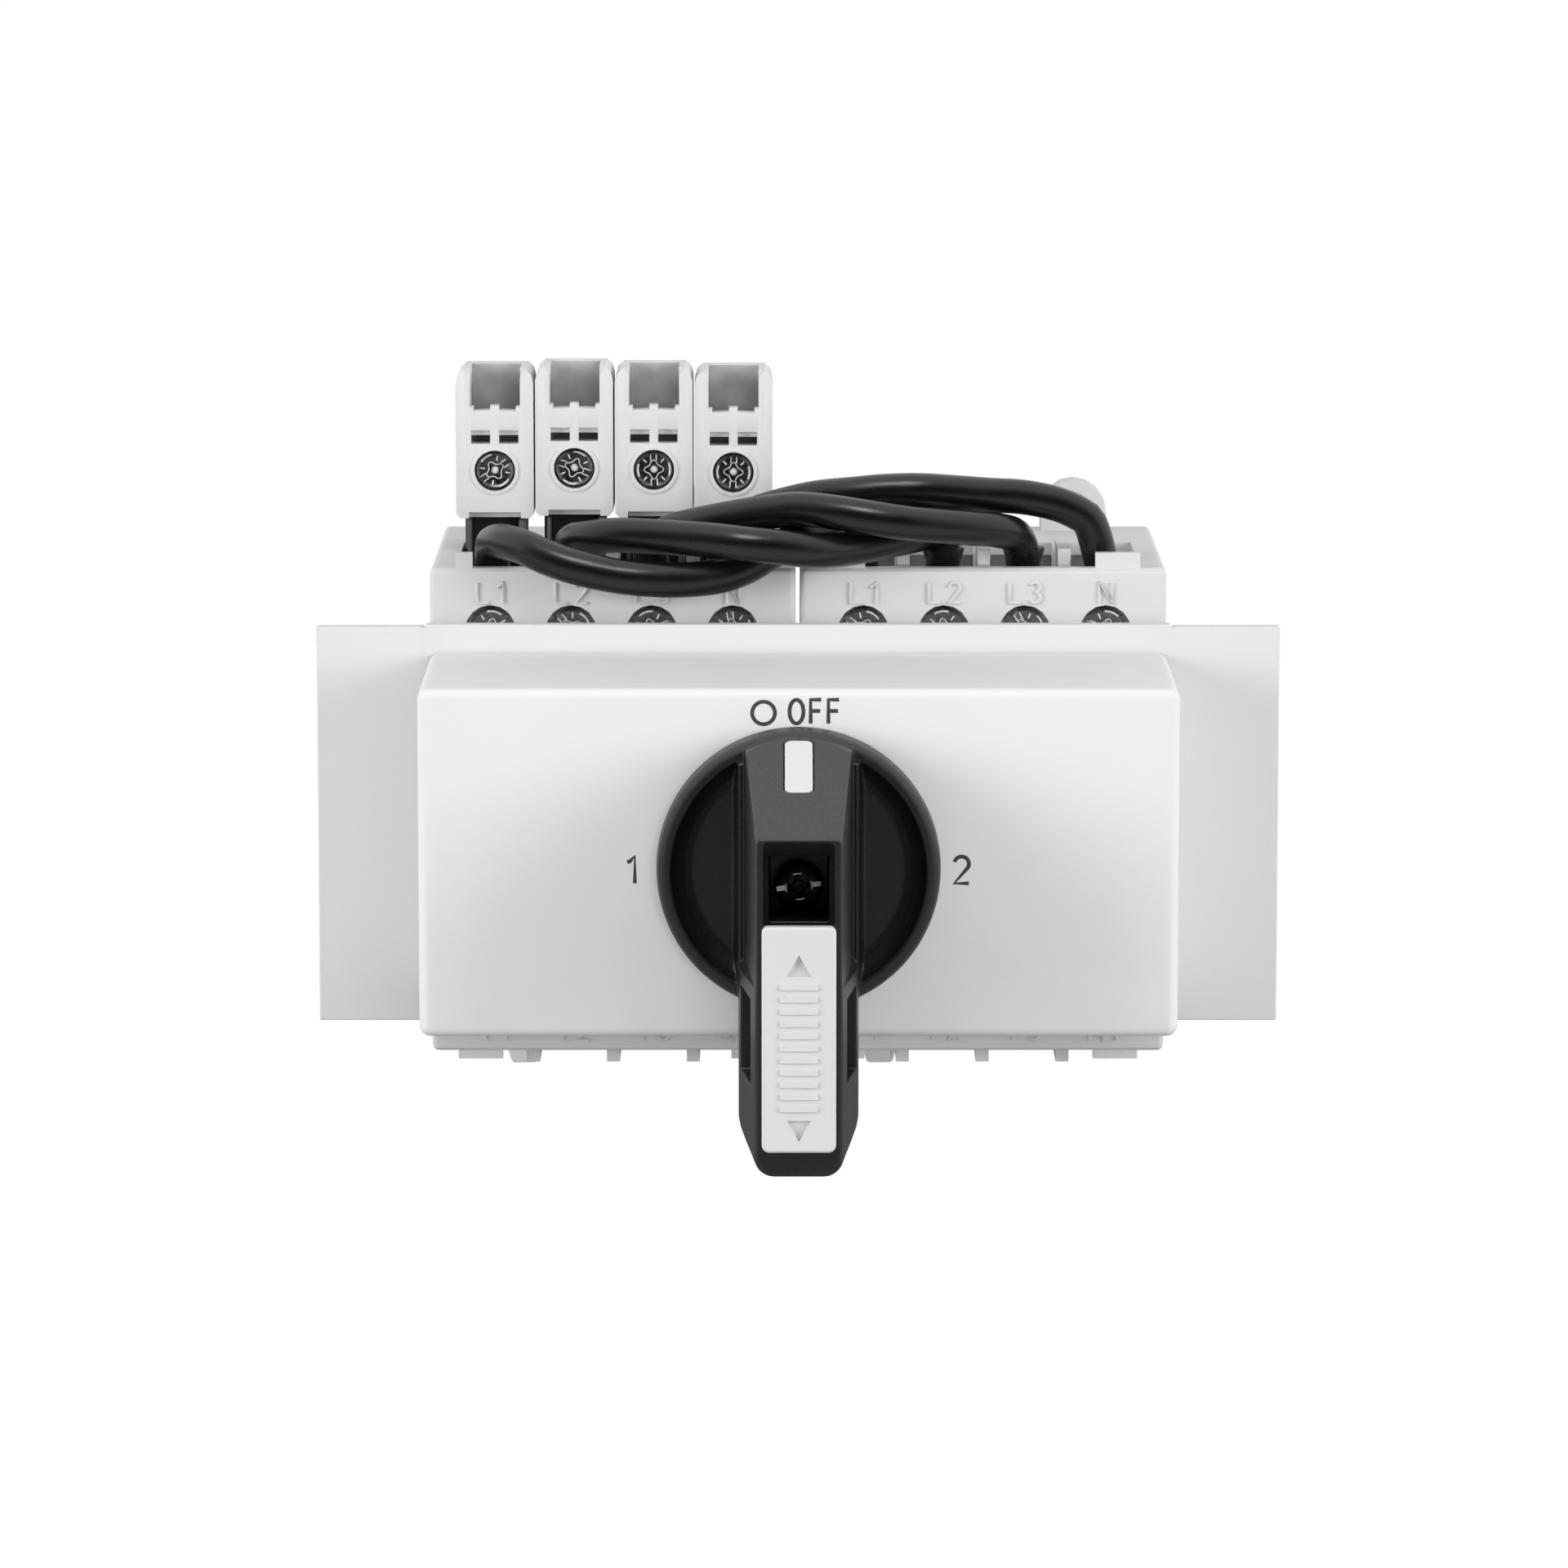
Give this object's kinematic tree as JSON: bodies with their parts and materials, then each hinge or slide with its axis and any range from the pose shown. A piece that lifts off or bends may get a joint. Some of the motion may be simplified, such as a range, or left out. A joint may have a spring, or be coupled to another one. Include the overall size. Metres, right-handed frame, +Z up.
{
  "type": "manual transfer switch",
  "caption": "Rail-mounted manual transfer switch: two four-pole switch modules joined by a mechanism box with a turning handle, jumper wires and extension terminals.",
  "frame": {"origin": "centre of the plane where the rear shells rest on the front of the mounting rail, midway between the two modules", "axes": "+X to the right seen from the front, +Y into the rail, away from the viewer, +Z up; the handle points along -Y"},
  "size_m": [0.1086, 0.1073, 0.0855],
  "materials": {
    "housing_plastic": "fine satin, light grey",
    "white_plastic": "satin, white",
    "dark_plastic": "satin, dark grey",
    "black_plastic": "fine grained matte, black",
    "wire_insulation": "satin, black",
    "gear_plastic": "natural, ivory",
    "zinc_steel": "zinc plated",
    "spring_steel": "bright"
  },
  "bodies": {
    "housing": {"left_housing": "housing_plastic", "left_rear_shell": "housing_plastic", "left_wing": "housing_plastic", "left_top_terminal_L1": "zinc_steel", "left_top_terminal_L2": "zinc_steel", "left_top_terminal_L3": "zinc_steel", "left_top_terminal_N": "zinc_steel", "left_bottom_terminal_T1": "zinc_steel", "left_bottom_terminal_T2": "zinc_steel", "left_bottom_terminal_T3": "zinc_steel", "left_bottom_terminal_N1": "zinc_steel", "left_clip_spring": "spring_steel", "left_mechanism_screw_1": "zinc_steel", "left_mechanism_screw_2": "zinc_steel", "right_housing": "housing_plastic", "right_rear_shell": "housing_plastic", "right_wing": "housing_plastic", "right_top_terminal_L1": "zinc_steel", "right_top_terminal_L2": "zinc_steel", "right_top_terminal_L3": "zinc_steel", "right_top_terminal_N": "zinc_steel", "right_bottom_terminal_T1": "zinc_steel", "right_bottom_terminal_T2": "zinc_steel", "right_bottom_terminal_T3": "zinc_steel", "right_bottom_terminal_N1": "zinc_steel", "right_clip_spring": "spring_steel", "right_mechanism_screw_1": "zinc_steel", "right_mechanism_screw_2": "zinc_steel", "mechanism_frame": "housing_plastic", "mechanism_cover": "housing_plastic", "extension_housing_1": "housing_plastic", "extension_plug_1": "dark_plastic", "extension_screw_1": "zinc_steel", "extension_housing_2": "housing_plastic", "extension_plug_2": "dark_plastic", "extension_screw_2": "zinc_steel", "extension_housing_3": "housing_plastic", "extension_plug_3": "dark_plastic", "extension_screw_3": "zinc_steel", "extension_housing_4": "housing_plastic", "extension_plug_4": "dark_plastic", "extension_screw_4": "zinc_steel", "jumper_wire_L1": "wire_insulation", "jumper_wire_L2": "wire_insulation", "jumper_wire_L3": "wire_insulation", "jumper_wire_N": "wire_insulation"},
    "handle": {"handle_knob": "black_plastic", "indicator_insert": "white_plastic", "handle_screw": "zinc_steel", "drive_shaft": "zinc_steel", "drive_gear": "gear_plastic"},
    "lock_slider": {"lock_slider": "white_plastic"},
    "left_rotor": {"left_gear": "gear_plastic", "left_rotor": "gear_plastic"},
    "right_rotor": {"right_gear": "gear_plastic", "right_rotor": "gear_plastic"},
    "left_contacts": {"left_contact_carrier": "dark_plastic"},
    "right_contacts": {"right_contact_carrier": "dark_plastic"},
    "left_clip": {"left_din_clip": "housing_plastic"},
    "right_clip": {"right_din_clip": "housing_plastic"}
  },
  "joints": [
    {"name": "handle_turn", "type": "hinge", "parent": "housing", "child": "handle", "pos_m": [0, 0, 0], "axis": [0, -1, 0], "range_deg": [-90, 90]},
    {"name": "lock_slide", "type": "slide", "parent": "handle", "child": "lock_slider", "axis": [0, 0, 1], "range_m": [0, 0.009]},
    {"name": "left_rotor_turn", "type": "hinge", "parent": "housing", "child": "left_rotor", "pos_m": [-0.02125, 0, 0], "axis": [0, -1, 0], "range_deg": [-90, 90]},
    {"name": "right_rotor_turn", "type": "hinge", "parent": "housing", "child": "right_rotor", "pos_m": [0.02125, 0, 0], "axis": [0, -1, 0], "range_deg": [-90, 90]},
    {"name": "left_contact_slide", "type": "slide", "parent": "housing", "child": "left_contacts", "axis": [1, 0, 0], "range_m": [-0.0032, 0.0032]},
    {"name": "right_contact_slide", "type": "slide", "parent": "housing", "child": "right_contacts", "axis": [1, 0, 0], "range_m": [-0.0032, 0.0032]},
    {"name": "left_clip_slide", "type": "slide", "parent": "housing", "child": "left_clip", "axis": [0, 0, -1], "range_m": [0, 0.0034], "stiffness_N_per_m": 400, "springref_m": -0.002, "deforming": ["left_clip_spring"]},
    {"name": "right_clip_slide", "type": "slide", "parent": "housing", "child": "right_clip", "axis": [0, 0, -1], "range_m": [0, 0.0034], "stiffness_N_per_m": 400, "springref_m": -0.002, "deforming": ["right_clip_spring"]}
  ],
  "couplings": [
    {"joint": "left_rotor_turn", "follows": "handle_turn", "ratio": -1},
    {"joint": "right_rotor_turn", "follows": "handle_turn", "ratio": -1},
    {"joint": "left_contact_slide", "follows": "handle_turn", "m_per_rad": 0.002},
    {"joint": "right_contact_slide", "follows": "handle_turn", "m_per_rad": 0.002}
  ]
}
